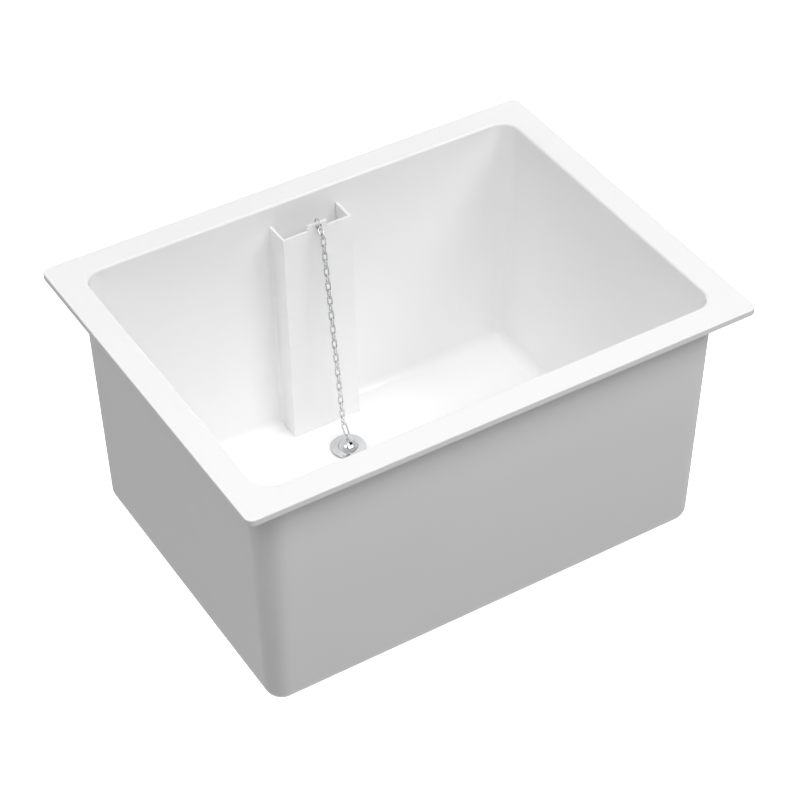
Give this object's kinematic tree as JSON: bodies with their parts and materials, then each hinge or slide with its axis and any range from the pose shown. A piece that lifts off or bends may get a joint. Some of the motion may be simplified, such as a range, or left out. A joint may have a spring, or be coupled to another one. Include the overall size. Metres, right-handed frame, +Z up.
{
  "type": "laboratory sink",
  "caption": "Drop-in rectangular laboratory sink with a flat rim, a weir overflow on the back wall, a waste outlet and a plug on a link chain.",
  "frame": {"origin": "centre of the rim's underside, which is the plane of the worktop that the sink hangs in", "axes": "+X along the long side to the right seen from the front, +Y towards the back wall with the overflow weir, +Z up"},
  "size_m": [0.6, 0.45, 0.392],
  "materials": {
    "white_polypropylene": "smooth white moulded polypropylene, glossy",
    "white_duct": "white moulded polypropylene, satin",
    "white_fitting": "white moulded polypropylene fitting, semi-gloss",
    "seal_rubber": "black sealing rubber, matt",
    "plug_rubber": "black moulded rubber, matt",
    "chrome_plate": "bright chromium plate",
    "chain_chrome": "bright chromium plated wire",
    "washer_steel": "plain steel"
  },
  "bodies": {
    "root": {"sink_bowl": "white_polypropylene", "overflow_weir": "white_polypropylene", "overflow_duct": "white_duct", "waste_body": "white_fitting", "flange_seal": "seal_rubber", "duct_seal_upper": "seal_rubber", "duct_seal_lower": "seal_rubber", "waste_backnut": "white_fitting", "top_ring": "chain_chrome", "connector_link": "chain_chrome", "end_link": "chain_chrome"},
    "chain_upper": {"chain_link_01": "chain_chrome", "chain_link_02": "chain_chrome", "chain_link_03": "chain_chrome", "chain_link_04": "chain_chrome", "chain_link_05": "chain_chrome", "chain_link_06": "chain_chrome", "chain_link_07": "chain_chrome", "chain_link_08": "chain_chrome", "chain_link_09": "chain_chrome", "chain_link_10": "chain_chrome", "chain_link_11": "chain_chrome", "chain_link_12": "chain_chrome", "chain_link_13": "chain_chrome"},
    "chain_lower": {"chain_link_14": "chain_chrome", "chain_link_15": "chain_chrome", "chain_link_16": "chain_chrome", "chain_link_17": "chain_chrome", "chain_link_18": "chain_chrome", "chain_link_19": "chain_chrome", "chain_link_20": "chain_chrome", "chain_link_21": "chain_chrome", "chain_link_22": "chain_chrome", "chain_link_23": "chain_chrome", "chain_link_24": "chain_chrome", "chain_link_25": "chain_chrome", "chain_link_26": "chain_chrome"},
    "plug": {"plug_loop": "chain_chrome", "plug_eye": "chrome_plate", "plug_cap": "chrome_plate", "plug_rubber": "plug_rubber", "plug_washer": "washer_steel"}
  },
  "joints": [
    {"name": "chain_swing", "type": "hinge", "parent": "root", "child": "chain_upper", "pos_m": [0, 0.15112, -0.0265], "axis": [0, 0.9911, -0.1333], "range_deg": [-45, 45]},
    {"name": "chain_knee", "type": "hinge", "parent": "chain_upper", "child": "chain_lower", "pos_m": [0, 0.13486, -0.14747], "axis": [0, 0.9911, -0.1333], "range_deg": [-90, 90]},
    {"name": "plug_hang", "type": "hinge", "parent": "chain_lower", "child": "plug", "pos_m": [0, 0.11689, -0.27182], "axis": [0, 0.9911, -0.1333], "range_deg": [-45, 45]}
  ],
  "couplings": [
    {"joint": "chain_knee", "follows": "chain_swing", "ratio": -1.9715},
    {"joint": "plug_hang", "follows": "chain_swing", "ratio": 0.97147}
  ]
}
